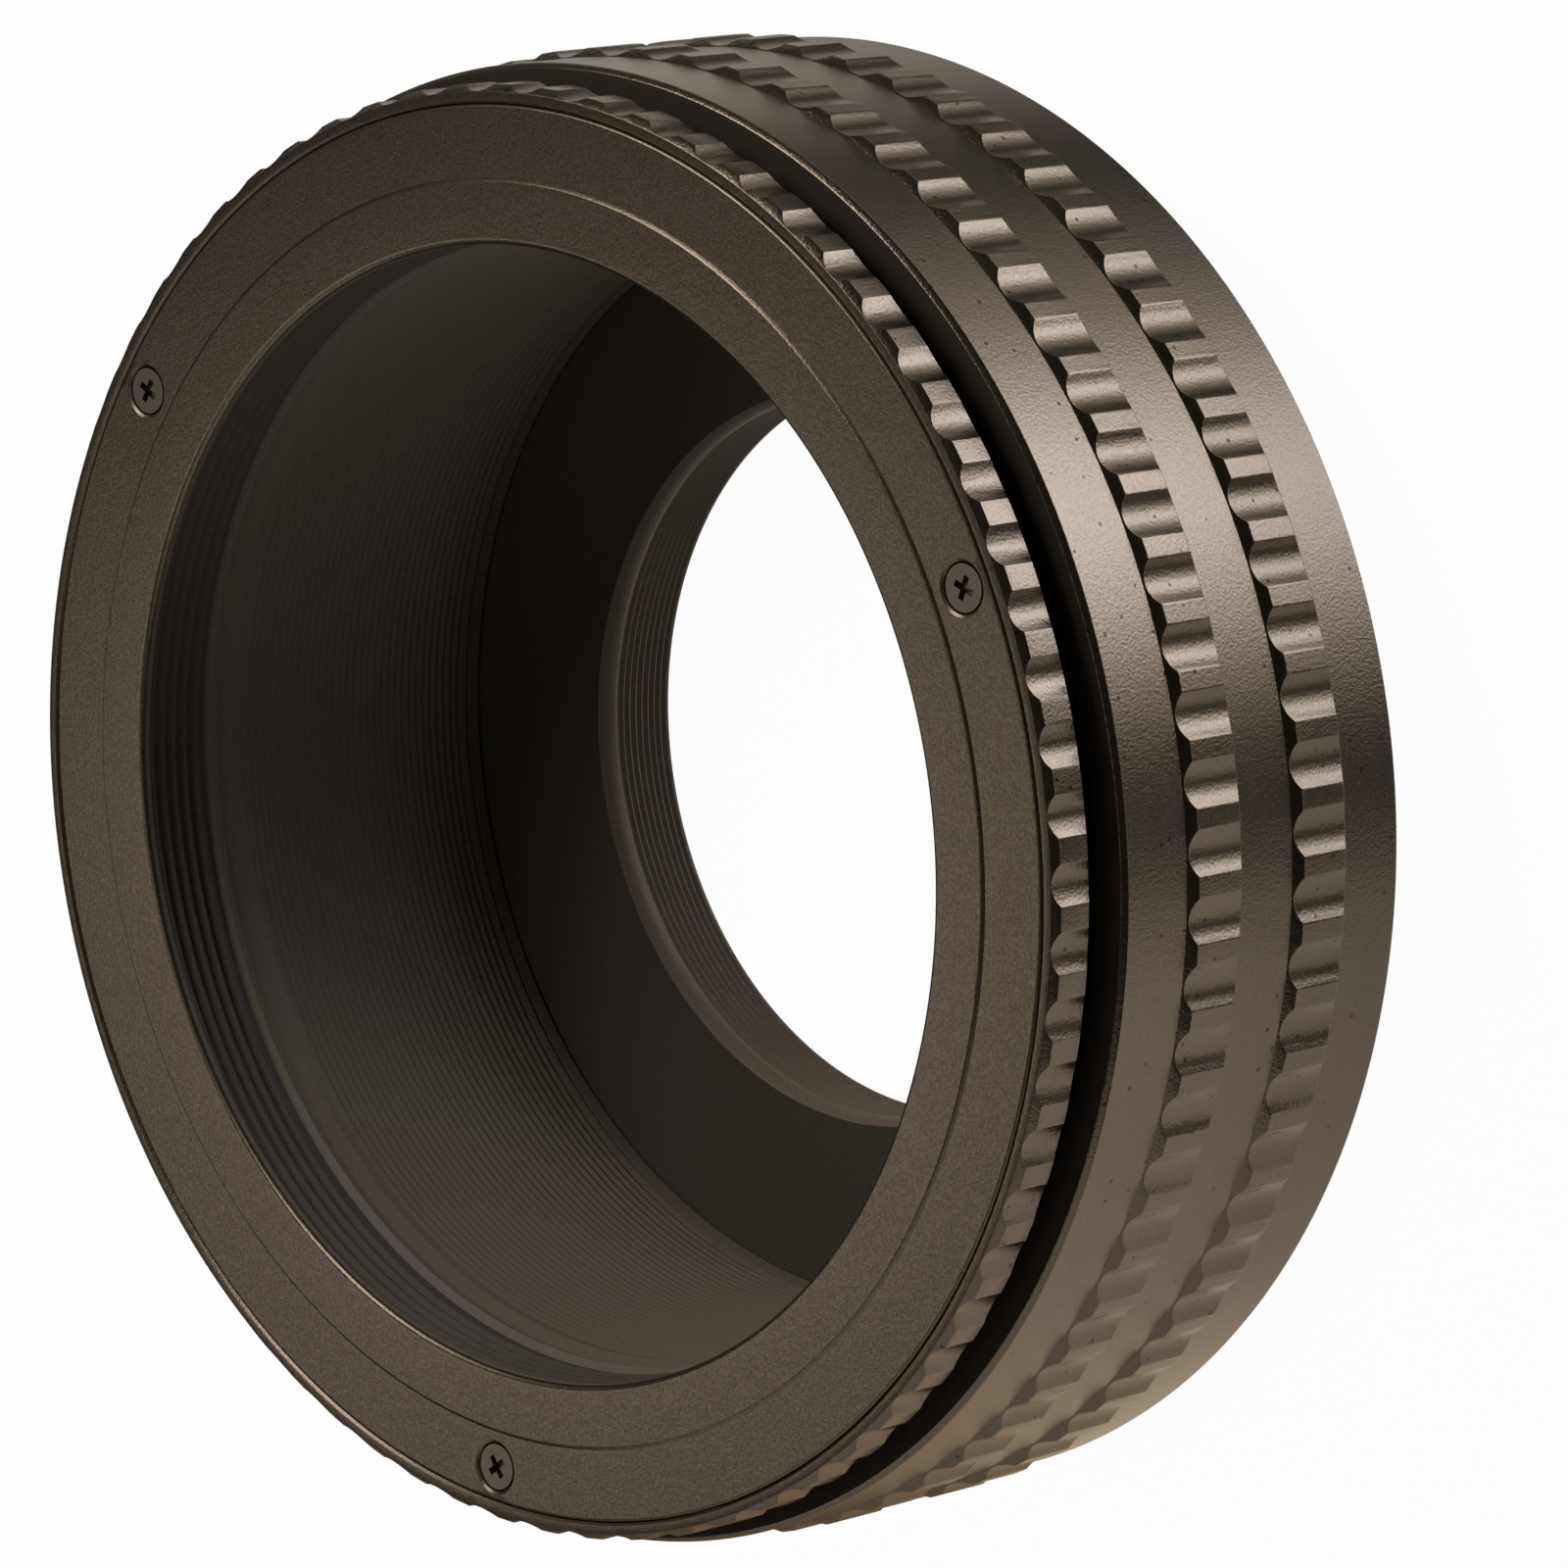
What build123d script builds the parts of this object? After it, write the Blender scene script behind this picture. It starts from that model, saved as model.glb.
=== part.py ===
from build123d import *
import math
import os

# A focusing mount adapter. A wide threaded ring takes the lens in front, a small threaded collar goes into
# the camera behind, and a grip ring between them turns on the base and drives a keyed barrel in and out.
# Millimetres. The optical axis is +Z. The part stands on its collar, and the origin is the middle of the foot.

# Front screw mount and the baffled tube behind it
FRONT_THREAD_D = 58.0
FRONT_THREAD_PITCH = 0.75
FRONT_THREAD_LENGTH = 3.6
MOUTH_CHAMFER = 0.3
RELIEF_LENGTH = 0.8
RELIEF_DEPTH = 0.15          # relief groove, past the thread's root
RELIEF_TAPER = 1.2           # slope from the relief down to the tube's bore
BAFFLE_STEP = 0.29           # tube bore, inside the thread's crests
TUBE_WALL = 1.6
TUBE_GAP = 0.2               # air between the tube's end and the rear plate
END_BAND = 0.71              # plain end of the bore, below the last groove
END_GROOVE = 0.2
DISC_THICKNESS = 1.25
SEAT_PROUD = 0.15            # the lens seat stands above the rest of the face
SEAT_SLOPE = 0.16            # width of the slope at the seat's edge
SEAT_WIDTH = 3.2

# Barrel: toothed flange, neck and the short male helicoid at its lower end
FLANGE_STEP = 0.8            # flange lands, inside the grip ring's plain bands
FLANGE_HEIGHT = 2.61
FLANGE_CHAMFER = 0.36
FLANGE_FLUTE_DEPTH = 0.33
FLANGE_FLUTE_SHARE = 0.625   # part of each tooth pitch taken by the flute
FLANGE_TEETH = 70
RIM_WIDTH = 0.91             # flange rim outside the disc's joint
JOINT_CHAMFER = 0.12         # both edges of that joint, which read as one fine groove
SLEEVE_WALL = 1.9
NECK_RELIEF = 0.8
HELICOID_LENGTH = 4.5

# Grip ring: three plain bands and two fluted grips
FRONT_BAND = 4.32
MIDDLE_BAND = 3.63
REAR_BAND = 4.04
GRIP_LENGTH = 3.85
GRIP_PROUD = 0.44
GRIP_FLUTE_DEPTH = 0.37
GRIP_FLUTE_SHARE = 0.6875
GRIP_TEETH = 72
RING_WALL = 2.25
RING_CHAMFER = 0.27          # outer corners
RING_BORE_CHAMFER = 0.3
RING_GAP = 1.27              # air between the flange and the grip ring

# Base: slotted guide tube on a bearing flange, and the retaining ring below it
GUIDE_WALL = 1.4
GUIDE_RIM = 1.4              # closed end above the slots
GUIDE_TOP_GAP = 0.84
FOOT_LEDGE = 1.6
BEARING_LEDGE = 1.0
BEARING_HEIGHT = 1.4
RETAINER_HEIGHT = 1.57
SPANNER_NOTCH = 2.0
NOTCH_DEPTH = 0.7

# Rear plate and the small threaded collar
PLATE_THICKNESS = 1.18
REAR_STEP = 1.28             # grip ring's rear edge above the plate's shoulder
FAR_THREAD_D = 42.0
FAR_THREAD_PITCH = 1.0
COLLAR_LENGTH = 4.05
COLLAR_WALL = 1.8
COLLAR_FLARE = 0.44          # the collar's bore widens this much towards the rear
COLLAR_CHAMFER = 0.4
COLLAR_LIP = 0.85            # length of the sloping lip at the bore's front end
COLLAR_RELIEF = 0.8
UNDERCUT_DEPTH = 0.15        # corner of the shoulder, cleared so that the thread's mate seats flat
UNDERCUT_REACH = 0.3         # past the thread's crests

# Guide keys
KEY_COUNT = 3
KEY_WIDTH = 4.0
KEY_LENGTH = 3.6
KEY_INSET = 0.3

# Countersunk screws with a cross recess
SCREW_COUNT = 3
SCREW_D = 1.6
HEAD_D = 2.35
HEAD_HEIGHT = 0.75
HEAD_SINK = 0.12
SCREW_INSET = 1.77           # front screws, in from the disc's edge
FRONT_SCREW_BITE = 1.1
FAR_SCREW_BITE = 2.0
KEY_SCREW_BITE = 1.2
RECESS_LENGTH = 1.25
RECESS_WIDTH = 0.35
RECESS_DEPTH = 0.45

# Clearances
RUNNING = 0.05               # radial, helicoid and bearing
AXIAL_PLAY = 0.05            # bearing flange between its two faces
SEATED = 0.03                # radial, screwed and locating fits
JOINT_GAP = 0.05             # radial, mount disc in the flange's recess
KEY_PLAY = 0.06              # each side of a key in its slot
SLOT_END_PLAY = 0.2
GUIDE_GAP = 0.6              # baffle tube to guide tube
SLEEVE_GAP = 0.4             # guide tube to sleeve
END_GAP = 0.35               # sleeve's lower end to the bearing flange
PLATE_EDGE_GAP = 0.2

# Angles, from the first front screw at +X
GRIP_PHASE = -3.15
FLANGE_PHASE = -3.4
RECESS_TURNS = (45.0, 5.0, 40.0)
KEY_ANGLE = 60.0
FAR_SCREW_ANGLE = 30.0

# Depth of a metric thread over its pitch, and of a truncated external one
INTERNAL_DEPTH = 0.5413
EXTERNAL_DEPTH = 0.6134

# Radii, worked outwards from the front thread
FRONT_MAJOR_R = FRONT_THREAD_D / 2
FRONT_MINOR_R = FRONT_MAJOR_R - INTERNAL_DEPTH * FRONT_THREAD_PITCH
BAFFLE_R = FRONT_MINOR_R - BAFFLE_STEP
TUBE_R = BAFFLE_R + TUBE_WALL
GUIDE_IN_R = TUBE_R + GUIDE_GAP
GUIDE_R = GUIDE_IN_R + GUIDE_WALL
FOOT_R = GUIDE_R + FOOT_LEDGE
PLATE_R = FOOT_R - PLATE_EDGE_GAP
SLEEVE_IN_R = GUIDE_R + SLEEVE_GAP
NECK_R = SLEEVE_IN_R + SLEEVE_WALL
HELICOID_R = NECK_R + NECK_RELIEF
BEARING_R = HELICOID_R + BEARING_LEDGE
RING_R = HELICOID_R + RING_WALL
GRIP_R = RING_R + GRIP_PROUD
FLANGE_R = RING_R - FLANGE_STEP
RECESS_R = FLANGE_R - RIM_WIDTH
DISC_R = RECESS_R - JOINT_GAP
SEAT_R = FRONT_MINOR_R + SEAT_WIDTH
FAR_R = FAR_THREAD_D / 2
COLLAR_REAR_R = FAR_R - COLLAR_WALL
COLLAR_FRONT_R = COLLAR_REAR_R - COLLAR_FLARE

# Levels, worked upwards from the collar's foot
Z_SHOULDER = COLLAR_LENGTH
Z_PLATE = Z_SHOULDER + PLATE_THICKNESS
Z_TUBE_END = Z_PLATE + TUBE_GAP
Z_RING_REAR = Z_SHOULDER + REAR_STEP
Z_GRIP_REAR = Z_RING_REAR + REAR_BAND
Z_GRIP_FRONT = Z_GRIP_REAR + GRIP_LENGTH + MIDDLE_BAND
Z_RING_FRONT = Z_GRIP_FRONT + GRIP_LENGTH + FRONT_BAND
Z_FLANGE = Z_RING_FRONT + RING_GAP
Z_FACE = Z_FLANGE + FLANGE_HEIGHT
Z_SEAT = Z_FACE + SEAT_PROUD
Z_WEB = Z_FACE - DISC_THICKNESS
Z_RETAINER = Z_RING_REAR + RETAINER_HEIGHT
Z_BEARING = Z_RETAINER + AXIAL_PLAY
Z_BEARING_TOP = Z_BEARING + BEARING_HEIGHT
Z_SLEEVE_END = Z_BEARING_TOP + END_GAP
Z_KEY = Z_SLEEVE_END + KEY_INSET
Z_GUIDE_TOP = Z_FLANGE - GUIDE_TOP_GAP
Z_SLOT_TOP = Z_GUIDE_TOP - GUIDE_RIM
TRAVEL = Z_SLOT_TOP - SLOT_END_PLAY - (Z_KEY + KEY_LENGTH)


def turned(*section):
    """A turned piece: the section's (radius, height) corners swept about the optical axis."""
    outline = Polyline(*[(r, 0, z) for r, z in section], close=True)
    return revolve(make_face(outline), Axis.Z)


def evenly(count, start=0.0):
    return [start + 360 * i / count for i in range(count)]


def around(shape, count, start=0.0):
    """Copies of a shape set evenly about the optical axis."""
    return [Rot(0, 0, angle) * shape for angle in evenly(count, start)]


def flute_cutters(land_r, depth, share, teeth, phase, low, high):
    """Round cutters that leave concave flutes between flat lands, all parallel to the axis."""
    half = math.radians(180 / teeth * share)
    sagitta = land_r * math.cos(half) - (land_r - depth)
    chord = land_r * math.sin(half)
    radius = (sagitta ** 2 + chord ** 2) / (2 * sagitta)
    cutter = Pos(land_r - depth + radius, 0, (low + high) / 2) * Cylinder(radius, high - low)
    return around(cutter, teeth, phase)


def grip_lands(low):
    """Section corners of one grip, up the outside, with a chamfer at each end."""
    return [
        (RING_R, low),
        (GRIP_R, low + GRIP_PROUD),
        (GRIP_R, low + GRIP_LENGTH - GRIP_PROUD),
        (RING_R, low + GRIP_LENGTH),
    ]


def focusing_ring():
    body = turned(
        (BEARING_R, Z_RING_REAR),
        (RING_R - RING_CHAMFER, Z_RING_REAR),
        (RING_R, Z_RING_REAR + RING_CHAMFER),
        *grip_lands(Z_GRIP_REAR),
        *grip_lands(Z_GRIP_FRONT),
        (RING_R, Z_RING_FRONT - RING_CHAMFER),
        (RING_R - RING_CHAMFER, Z_RING_FRONT),
        (HELICOID_R + RING_BORE_CHAMFER, Z_RING_FRONT),
        (HELICOID_R, Z_RING_FRONT - RING_BORE_CHAMFER),
        (HELICOID_R, Z_BEARING_TOP + AXIAL_PLAY),
        (BEARING_R, Z_BEARING_TOP + AXIAL_PLAY),
    )
    flutes = flute_cutters(
        GRIP_R, GRIP_FLUTE_DEPTH, GRIP_FLUTE_SHARE, GRIP_TEETH, GRIP_PHASE, Z_RING_REAR, Z_RING_FRONT
    )
    return body - flutes


def retaining_ring():
    """Threaded ring that traps the bearing flange in the grip ring, with two spanner notches."""
    inner = FOOT_R + PLATE_EDGE_GAP
    outer = BEARING_R - SEATED
    body = turned((inner, Z_RING_REAR), (outer, Z_RING_REAR), (outer, Z_RETAINER), (inner, Z_RETAINER))
    notch = Pos((inner + outer) / 2, 0, Z_RING_REAR) * Box(outer - inner, SPANNER_NOTCH, 2 * NOTCH_DEPTH)
    notch = Pos(-(outer - inner) / 3, 0, 0) * notch
    return body - around(notch, 2)


def guide_tube():
    """Fixed tube on its bearing flange, with closed slots that keep the barrel from turning."""
    body = turned(
        (GUIDE_IN_R, Z_PLATE),
        (FOOT_R, Z_PLATE),
        (FOOT_R, Z_BEARING),
        (BEARING_R - RUNNING, Z_BEARING),
        (BEARING_R - RUNNING, Z_BEARING_TOP),
        (GUIDE_R, Z_BEARING_TOP),
        (GUIDE_R, Z_GUIDE_TOP),
        (GUIDE_IN_R, Z_GUIDE_TOP),
    )
    slot_low = Z_KEY - SLOT_END_PLAY
    slot = Box(2 * GUIDE_WALL + GUIDE_GAP, KEY_WIDTH + 2 * KEY_PLAY, Z_SLOT_TOP - slot_low)
    slot = Pos((GUIDE_IN_R + GUIDE_R) / 2, 0, (slot_low + Z_SLOT_TOP) / 2) * slot
    tapped_depth = FAR_SCREW_BITE + SCREW_D / 2
    tapped = Pos(far_screw_r(), 0, Z_PLATE) * Cylinder(SCREW_D / 2 + SEATED, 2 * tapped_depth)
    return body - around(slot, KEY_COUNT, KEY_ANGLE) - around(tapped, SCREW_COUNT, FAR_SCREW_ANGLE)


def far_screw_r():
    return (GUIDE_IN_R + PLATE_R) / 2


def far_mount_plate():
    """Rear plate, its shoulder, and the collar with the small male thread and a flared bore."""
    root_r = FAR_R - EXTERNAL_DEPTH * FAR_THREAD_PITCH
    undercut_r = FAR_R + UNDERCUT_REACH
    body = turned(
        (COLLAR_REAR_R, 0),
        (FAR_R - COLLAR_CHAMFER, 0),
        (FAR_R, COLLAR_CHAMFER),
        (FAR_R, Z_SHOULDER - COLLAR_RELIEF),
        (root_r, Z_SHOULDER - COLLAR_RELIEF),
        (root_r, Z_SHOULDER + UNDERCUT_DEPTH),
        (undercut_r, Z_SHOULDER + UNDERCUT_DEPTH),
        (undercut_r, Z_SHOULDER),
        (PLATE_R, Z_SHOULDER),
        (PLATE_R, Z_PLATE),
        (COLLAR_FRONT_R + COLLAR_CHAMFER, Z_PLATE),
        (COLLAR_FRONT_R, Z_PLATE - COLLAR_LIP),
    )
    hole = Pos(far_screw_r(), 0, Z_SHOULDER) * Rot(180, 0, 0) * countersunk_hole(PLATE_THICKNESS)
    return body - around(hole, SCREW_COUNT, FAR_SCREW_ANGLE)


def helicoid_barrel():
    """Toothed flange with a recess for the mount disc, and the sleeve that carries the male helicoid."""
    thread_r = HELICOID_R - RUNNING
    body = turned(
        (SLEEVE_IN_R, Z_SLEEVE_END),
        (thread_r, Z_SLEEVE_END),
        (thread_r, Z_SLEEVE_END + HELICOID_LENGTH),
        (NECK_R, Z_SLEEVE_END + HELICOID_LENGTH),
        (NECK_R, Z_FLANGE),
        (FLANGE_R - FLANGE_CHAMFER, Z_FLANGE),
        (FLANGE_R, Z_FLANGE + FLANGE_CHAMFER),
        (FLANGE_R, Z_FACE - FLANGE_CHAMFER),
        (FLANGE_R - FLANGE_CHAMFER, Z_FACE),
        (RECESS_R + JOINT_CHAMFER, Z_FACE),
        (RECESS_R, Z_FACE - JOINT_CHAMFER),
        (RECESS_R, Z_WEB),
        (TUBE_R + SEATED, Z_WEB),
        (TUBE_R + SEATED, Z_FLANGE),
        (SLEEVE_IN_R, Z_FLANGE),
    )
    body -= flute_cutters(
        FLANGE_R, FLANGE_FLUTE_DEPTH, FLANGE_FLUTE_SHARE, FLANGE_TEETH, FLANGE_PHASE, Z_FLANGE, Z_FACE
    )
    tapped = Pos(front_screw_r(), 0, Z_WEB) * Cylinder(SCREW_D / 2 + SEATED, 2 * FRONT_SCREW_BITE)
    key_hole = Pos(SLEEVE_IN_R, 0, Z_KEY + KEY_LENGTH / 2) * Rot(0, 90, 0)
    key_hole = key_hole * Cylinder(SCREW_D / 2 + SEATED, 2 * KEY_SCREW_BITE + SCREW_D)
    return body - around(tapped, SCREW_COUNT) - around(key_hole, KEY_COUNT, KEY_ANGLE)


def front_screw_r():
    return DISC_R - SCREW_INSET


def front_mount_tube():
    """Mount disc with the raised lens seat and the female thread, in one piece with the light tube."""
    thread_end = Z_SEAT - FRONT_THREAD_LENGTH
    relief_r = FRONT_MAJOR_R + RELIEF_DEPTH
    groove_low = Z_TUBE_END + END_BAND
    body = turned(
        (BAFFLE_R, Z_TUBE_END),
        (TUBE_R, Z_TUBE_END),
        (TUBE_R, Z_WEB),
        (DISC_R, Z_WEB),
        (DISC_R, Z_FACE - JOINT_CHAMFER),
        (DISC_R - JOINT_CHAMFER, Z_FACE),
        (SEAT_R + SEAT_SLOPE, Z_FACE),
        (SEAT_R, Z_SEAT),
        (FRONT_MINOR_R + MOUTH_CHAMFER, Z_SEAT),
        (FRONT_MINOR_R, Z_SEAT - MOUTH_CHAMFER),
        (FRONT_MINOR_R, thread_end),
        (relief_r, thread_end),
        (relief_r, thread_end - RELIEF_LENGTH),
        (BAFFLE_R, thread_end - RELIEF_LENGTH - RELIEF_TAPER),
        (BAFFLE_R, groove_low + END_GROOVE),
        (BAFFLE_R + END_GROOVE, groove_low + END_GROOVE),
        (BAFFLE_R + END_GROOVE, groove_low),
        (BAFFLE_R, groove_low),
    )
    hole = Pos(front_screw_r(), 0, Z_FACE) * countersunk_hole(DISC_THICKNESS)
    return body - around(hole, SCREW_COUNT)


def guide_key():
    """Brass block under the sleeve, with a flat inner face and an outer face curved to its seat."""
    inner = GUIDE_IN_R
    block = Box(SLEEVE_IN_R - inner, KEY_WIDTH, KEY_LENGTH)
    block = Pos((inner + SLEEVE_IN_R) / 2, 0, Z_KEY + KEY_LENGTH / 2) * block
    block = block & Pos(0, 0, Z_KEY + KEY_LENGTH / 2) * Cylinder(SLEEVE_IN_R, KEY_LENGTH)
    hole = Pos(inner, 0, Z_KEY + KEY_LENGTH / 2) * Rot(0, -90, 0) * countersunk_hole(SLEEVE_IN_R - inner)
    return block - hole


def countersunk_hole(depth):
    """Cutter for a screw seat: mouth at the origin facing +Z, body below it."""
    mouth_r = HEAD_D / 2 + HEAD_SINK
    shank_r = SCREW_D / 2 + SEATED
    cone = mouth_r - shank_r
    slope = (HEAD_D - SCREW_D) / 2 / HEAD_HEIGHT
    return turned((0, -2 * depth), (shank_r, -2 * depth), (shank_r, -cone / slope), (mouth_r, 0), (0, 0))


def countersunk_screw(length):
    """Flat head at the top, sunk below the origin, with a cross recess."""
    head_r = HEAD_D / 2
    shank_r = SCREW_D / 2
    top = -HEAD_SINK
    body = turned(
        (0, top - length),
        (shank_r, top - length),
        (shank_r, top - HEAD_HEIGHT),
        (head_r, top),
        (0, top),
    )
    arm = Pos(0, 0, top) * Box(RECESS_LENGTH, RECESS_WIDTH, 2 * RECESS_DEPTH)
    return body - arm - Rot(0, 0, 90) * arm


def front_mount_screws():
    """Each screw stops at a turn of its own."""
    screw = countersunk_screw(DISC_THICKNESS - HEAD_SINK + FRONT_SCREW_BITE)
    placed = []
    for i, angle in enumerate(evenly(SCREW_COUNT)):
        stopped = Rot(0, 0, RECESS_TURNS[i % len(RECESS_TURNS)]) * screw
        placed.append(Rot(0, 0, angle) * Pos(front_screw_r(), 0, Z_FACE) * stopped)
    return placed


def far_mount_screws():
    screw = Rot(180, 0, 0) * countersunk_screw(PLATE_THICKNESS - HEAD_SINK + FAR_SCREW_BITE)
    return around(Pos(far_screw_r(), 0, Z_SHOULDER) * screw, SCREW_COUNT, FAR_SCREW_ANGLE)


def guide_key_screws():
    screw = countersunk_screw(SLEEVE_IN_R - GUIDE_IN_R - HEAD_SINK + KEY_SCREW_BITE)
    placed = Pos(GUIDE_IN_R, 0, Z_KEY + KEY_LENGTH / 2) * Rot(0, -90, 0) * screw
    return around(placed, KEY_COUNT, KEY_ANGLE)


def write(node, *solids):
    shape = solids[0] if len(solids) == 1 else Compound(children=list(solids))
    export_step(shape, f"parts/{node}.step")
    print(f"{node}: {sum(s.volume for s in solids):.1f} mm3")


os.makedirs("parts", exist_ok=True)
write("far_mount_plate", far_mount_plate())
write("far_mount_screws", *far_mount_screws())
write("guide_tube", guide_tube())
write("focusing_ring", focusing_ring())
write("retaining_ring", retaining_ring())
write("helicoid_barrel", helicoid_barrel())
write("front_mount_tube", front_mount_tube())
write("front_mount_screws", *front_mount_screws())
for number, key in enumerate(around(guide_key(), KEY_COUNT, KEY_ANGLE), start=1):
    write(f"guide_key_{number}", key)
write("guide_key_screws", *guide_key_screws())
print(f"barrel travel {TRAVEL:.2f} mm, register {Z_SEAT - Z_SHOULDER:.2f} mm, height {Z_SEAT:.2f} mm")
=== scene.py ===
# %% [markdown]
# # A focusing lens mount adapter
# Two screw mounts joined by a short focusing tube. A wide thread in front takes a lens, a small collar
# behind goes into the camera, and turning the fluted grip ring moves the front in and out. Every part is
# turned from aluminium and anodised black, so almost all of its shape comes from one operation: an outline
# spun about the optical axis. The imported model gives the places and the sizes, and this lesson gives it
# fine edges, threads and a finish.

# %% Load the frame
import math

import bmesh
import bpy
from mathutils import Matrix, Vector


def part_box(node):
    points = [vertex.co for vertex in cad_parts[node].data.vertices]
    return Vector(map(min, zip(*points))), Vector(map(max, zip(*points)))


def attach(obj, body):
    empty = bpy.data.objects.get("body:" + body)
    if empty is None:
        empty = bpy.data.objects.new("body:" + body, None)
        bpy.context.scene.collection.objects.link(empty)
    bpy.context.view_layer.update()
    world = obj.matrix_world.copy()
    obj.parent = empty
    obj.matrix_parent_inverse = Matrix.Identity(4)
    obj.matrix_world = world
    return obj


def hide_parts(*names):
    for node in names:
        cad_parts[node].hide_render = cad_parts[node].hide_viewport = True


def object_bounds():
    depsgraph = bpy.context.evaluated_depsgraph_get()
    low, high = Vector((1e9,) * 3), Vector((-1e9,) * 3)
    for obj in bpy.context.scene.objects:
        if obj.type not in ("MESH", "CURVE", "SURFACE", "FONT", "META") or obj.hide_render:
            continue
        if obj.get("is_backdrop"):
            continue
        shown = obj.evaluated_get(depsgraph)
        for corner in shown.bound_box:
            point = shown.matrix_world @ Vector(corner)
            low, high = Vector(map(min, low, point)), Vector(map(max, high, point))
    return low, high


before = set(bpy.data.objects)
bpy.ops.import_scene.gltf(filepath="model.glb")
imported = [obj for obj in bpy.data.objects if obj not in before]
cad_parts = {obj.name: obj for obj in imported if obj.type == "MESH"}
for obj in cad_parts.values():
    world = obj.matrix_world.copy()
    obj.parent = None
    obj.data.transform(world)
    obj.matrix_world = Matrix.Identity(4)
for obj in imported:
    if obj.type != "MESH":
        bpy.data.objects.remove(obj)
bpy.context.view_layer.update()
MM = 0.001
print("nodes:", ", ".join(sorted(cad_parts)))


def levels(node):
    """Lowest height, highest height and largest radius of a CAD node, in millimetres."""
    low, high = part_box(node)
    return low.z / MM, high.z / MM, max(high.x, high.y) / MM


# %% [markdown]
# ## Turning on a lathe
# A lathe shapes a spinning bar with a tool that follows an outline. In Blender the same thing is the spin
# operator: the outline is a closed loop of (radius, height) corners, and a full turn with merged ends makes
# a closed solid. A Screw modifier would do as well, but the spin leaves plain vertices, which the flutes
# below need to move.

# %% A turned solid
def drawn(bm, outline):
    """Draws a closed outline of (radius, height) corners, in millimetres, beside the optical axis."""
    corners = [bm.verts.new((radius, 0, height)) for radius, height in outline]
    sides = [bm.edges.new((corners[i - 1], corners[i])) for i in range(len(corners))]
    return corners + sides


def turned(outline, steps):
    """Spins a closed outline once about the optical axis."""
    bm = bmesh.new()
    bmesh.ops.spin(
        bm,
        geom=drawn(bm, outline),
        cent=(0, 0, 0),
        axis=(0, 0, 1),
        angle=math.tau,
        steps=steps,
        use_merge=True,
    )
    bmesh.ops.recalc_face_normals(bm, faces=bm.faces)
    return bm


def arc(at_r, at_z, radial, axial, first, last, steps=6):
    """Outline corners on part of an ellipse round a centre, between two angles in degrees."""
    angles = [math.radians(first + (last - first) * i / steps) for i in range(steps + 1)]
    return [(at_r + radial * math.cos(a), at_z + axial * math.sin(a)) for a in angles]


# %% [markdown]
# ## Edges that catch the light
# No machined edge is perfectly sharp. Blasting and anodising leave a tiny round on it, and that round is
# what draws the thin bright line along a step. A bevel of a few hundredths of a millimetre gives the same
# line. Only outer edges get it, because the beads don't reach into a corner.

# %% Broken edges
EDGE_ROUND = 0.06
SHARP_ANGLE = math.radians(20)


def break_edges(bm, above=-math.inf, outside=0, width=EDGE_ROUND, segments=2):
    """Rounds the outer edges where two faces meet at a clear angle, above a height and outside a radius."""
    bm.normal_update()
    edges = [
        e
        for e in bm.edges
        if e.is_convex
        and e.calc_face_angle() > SHARP_ANGLE
        and all(v.co.z > above and math.hypot(v.co.x, v.co.y) > outside for v in e.verts)
    ]
    bmesh.ops.bevel(
        bm,
        geom=edges,
        offset=width,
        offset_type="OFFSET",
        segments=segments,
        profile=0.5,
        affect="EDGES",
        clamp_overlap=True,
        material=-1,
    )
    return bm


# %% [markdown]
# ## From outline to piece
# Each piece is drawn in millimetres, as on a workshop drawing, and scaled to metres at the end. It is then
# parented to an empty for the body that carries it, and its plainer CAD node is hidden. Smooth shading would
# bend the light across a flat face that ends in a small round.
# Normals weighted by face area keep the face flat and leave the bending to the round.

# %% Finished pieces
def settle(obj):
    """Keeps the result of an object's modifiers as its mesh."""
    result = bpy.data.meshes.new_from_object(obj.evaluated_get(bpy.context.evaluated_depsgraph_get()))
    result.name = obj.name
    obj.modifiers.clear()
    obj.data = result


def smooth(obj):
    """Smooth shading with flat faces kept flat."""
    obj.data.shade_smooth()
    obj.data.set_sharp_from_angle(angle=SHARP_ANGLE)
    weighted = obj.modifiers.new("flat faces", "WEIGHTED_NORMAL")
    weighted.keep_sharp = True
    settle(obj)


def made(name, bm):
    """Makes a bmesh an object of the scene."""
    mesh = bpy.data.meshes.new(name)
    bm.to_mesh(mesh)
    bm.free()
    obj = bpy.data.objects.new(name, mesh)
    bpy.context.scene.collection.objects.link(obj)
    return obj


def piece(name, bm, body, node, seats=None):
    """Makes a shaped bmesh an object in metres that stands for a CAD node and moves with its body."""
    bmesh.ops.scale(bm, vec=(MM, MM, MM), verts=bm.verts)
    obj = made(name, bm)
    if seats:
        cut_seats(obj, *seats)
    smooth(obj)
    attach(obj, body)
    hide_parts(node)
    return obj


# %% [markdown]
# ## Flutes
# A round-nosed cutter running along the axis leaves a concave flute, and the metal left between two flutes
# is a flat land. The cut also bites into the chamfers at the ends of the grip, which gives their edge its
# scalloped line. After the spin, only the two edges of each land have to move: inwards to the cutter's
# circle, and along the chamfer. The vertices of a flute are also spread a little, so that its edges fall on
# vertices and stay crisp.

# %% Fluted bands
FLUTE_STEPS = 16             # spin steps in one tooth pitch


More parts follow.
